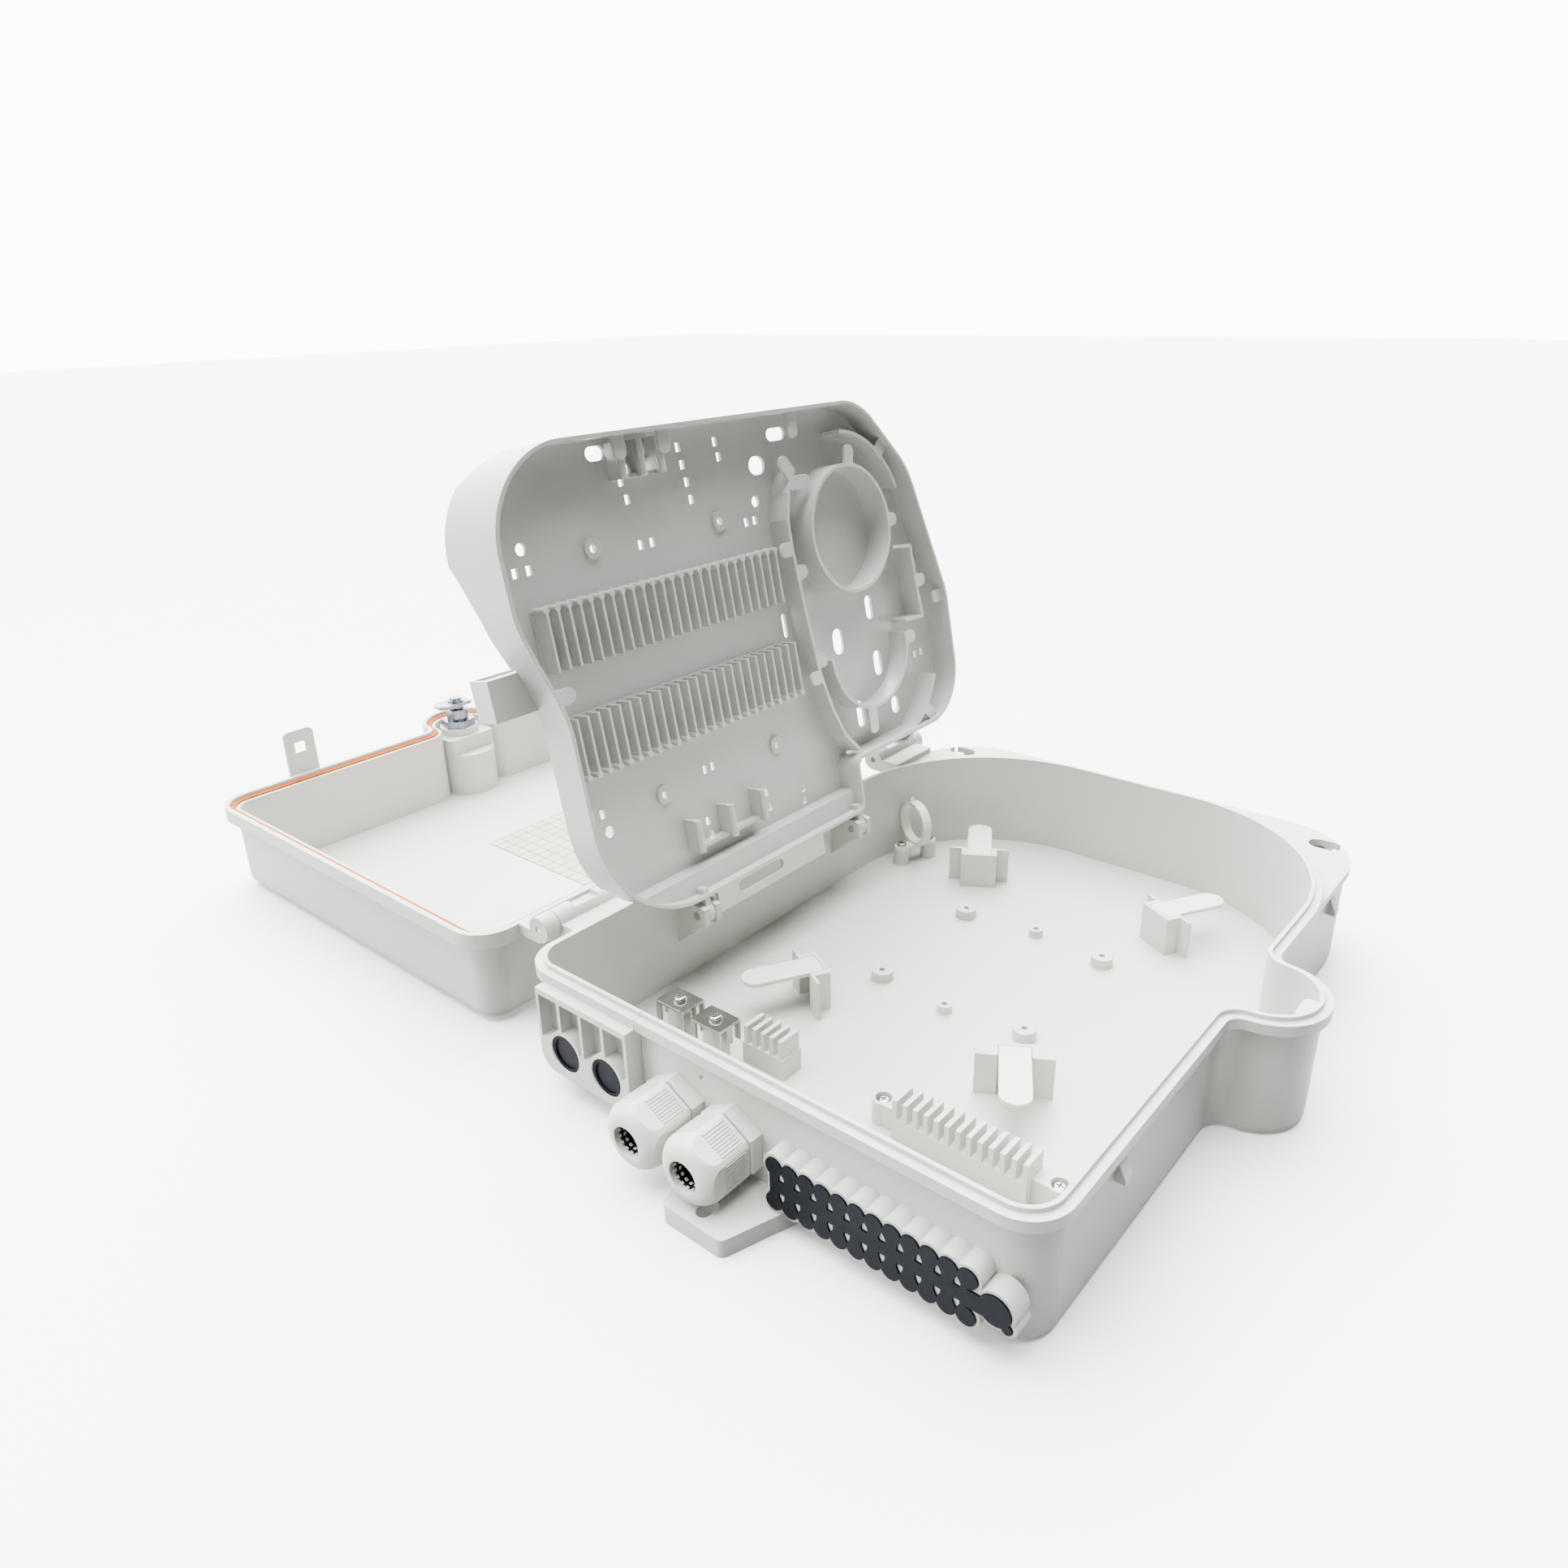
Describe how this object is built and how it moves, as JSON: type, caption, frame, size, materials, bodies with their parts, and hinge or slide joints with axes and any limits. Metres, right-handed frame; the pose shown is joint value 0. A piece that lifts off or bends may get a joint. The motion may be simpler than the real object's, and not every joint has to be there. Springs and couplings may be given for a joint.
{
  "type": "fibre access terminal box",
  "caption": "Wall box for fibre drop cables: base with glands and drop ports, hinged cover with cam lock, swing-up splice tray.",
  "frame": {"origin": "centre of the base's back face, at mid width and mid length of the moulded box", "axes": "+X from the hinge side to the lock side, +Y from the cable entries to the rounded end, +Z out of the wall"},
  "size_m": [0.6588, 0.417, 0.2932],
  "materials": {
    "white_abs": "fine matte moulded",
    "cream_abs": "satin moulded",
    "white_nylon": "satin moulded",
    "navy_rubber": "matte",
    "orange_rubber": "matte foamed",
    "nickel_steel": "nickel plated",
    "zinc": "zinc die cast",
    "paper": "matte printed rules"
  },
  "bodies": {
    "base": {"base_shell": "white_abs", "cable_ring": "cream_abs", "clamp_screws": "nickel_steel", "comb_screws": "nickel_steel", "cover_hinge_pins": "nickel_steel", "drop_cable_comb": "white_abs", "drop_port_seal": "navy_rubber", "fibre_clip_1": "cream_abs", "fibre_clip_2": "cream_abs", "fibre_clip_3": "cream_abs", "fibre_clip_4": "cream_abs", "gland_body_1": "white_nylon", "gland_body_2": "white_nylon", "gland_locknut_1": "white_nylon", "gland_locknut_2": "white_nylon", "gland_nut_1": "white_nylon", "gland_nut_2": "white_nylon", "gland_seal_1": "navy_rubber", "gland_seal_2": "navy_rubber", "panel_plug_1": "navy_rubber", "panel_plug_2": "navy_rubber", "port_panel": "white_abs", "ring_screws": "nickel_steel", "strength_clamp_1": "nickel_steel", "strength_clamp_2": "nickel_steel", "tray_hinge_pins": "nickel_steel"},
    "cover": {"cover_shell": "white_abs", "cover_gasket": "orange_rubber", "port_chart": "paper", "lock_cylinder": "zinc", "lock_nut": "zinc"},
    "tray": {"splice_tray": "white_abs", "splice_holder_upper": "white_abs", "splice_holder_lower": "white_abs", "splitter_pocket": "cream_abs"},
    "lock_cam": {"lock_cam": "zinc", "cam_screw": "zinc"}
  },
  "joints": [
    {"name": "cover_hinge", "type": "hinge", "parent": "base", "child": "cover", "pos_m": [-0.1565, 0, 0.0595], "axis": [0, 1, 0], "range_deg": [0, 180]},
    {"name": "tray_hinge", "type": "hinge", "parent": "base", "child": "tray", "pos_m": [-0.1193, 0, 0.047], "axis": [0, 1, 0], "range_deg": [0, 101]},
    {"name": "lock_cam_turn", "type": "hinge", "parent": "cover", "child": "lock_cam", "pos_m": [-0.461, 0, 0.07], "axis": [0, 0, -1], "range_deg": [0, 90]}
  ],
  "couplings": [
    {"joint": "tray_hinge", "follows": "cover_hinge", "ratio": 0.5611}
  ]
}
